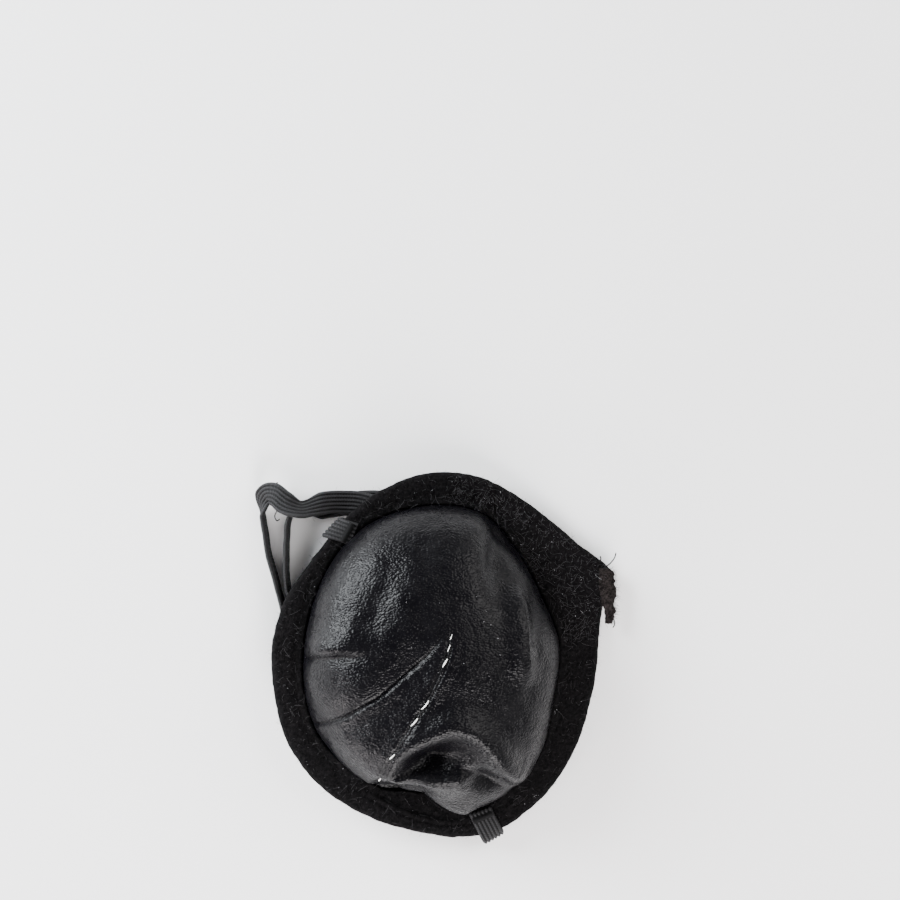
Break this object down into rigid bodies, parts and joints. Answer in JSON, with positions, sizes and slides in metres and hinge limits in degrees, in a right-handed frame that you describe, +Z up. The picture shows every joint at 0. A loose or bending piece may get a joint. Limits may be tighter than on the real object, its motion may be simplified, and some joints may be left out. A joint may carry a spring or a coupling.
{
  "type": "eye patch",
  "caption": "Domed soft vinyl eye patch with a single pointed corner, bound round its rim with wide felt tape, on a narrow braided elastic strap sewn to the rim.",
  "frame": {"origin": "on the table, under the middle of the patch's box (the strap left out)", "axes": "+Z up, out of the domed side; +Y towards the top of the patch as it is shown, across its longer side; +X towards the side with the pointed corner"},
  "size_m": [0.0742, 0.0763, 0.0235],
  "materials": {
    "vinyl": "black grained vinyl with a soft satin sheen",
    "lining": "matt black plain-woven lining",
    "felt": "matt black felt with a short nap",
    "elastic": "black braided elastic with lengthwise ribs",
    "black_thread": "black sewing thread",
    "white_thread": "white sewing thread"
  },
  "bodies": {
    "root": {"vinyl_shell": "vinyl", "shell_lining": "lining", "binding_tape": "felt", "binding_tape_end": "felt", "binding_thread": "black_thread", "dart_thread": "white_thread", "strap_tack_left": "black_thread", "strap_tack_bottom": "black_thread", "strap_left_end": "elastic", "strap_under_left": "elastic", "strap_run_to_left": "elastic", "strap_left_fold": "elastic", "strap_loop": "elastic", "strap_run_back": "elastic", "strap_under_middle": "elastic", "strap_bottom_end": "elastic"}
  },
  "joints": []
}
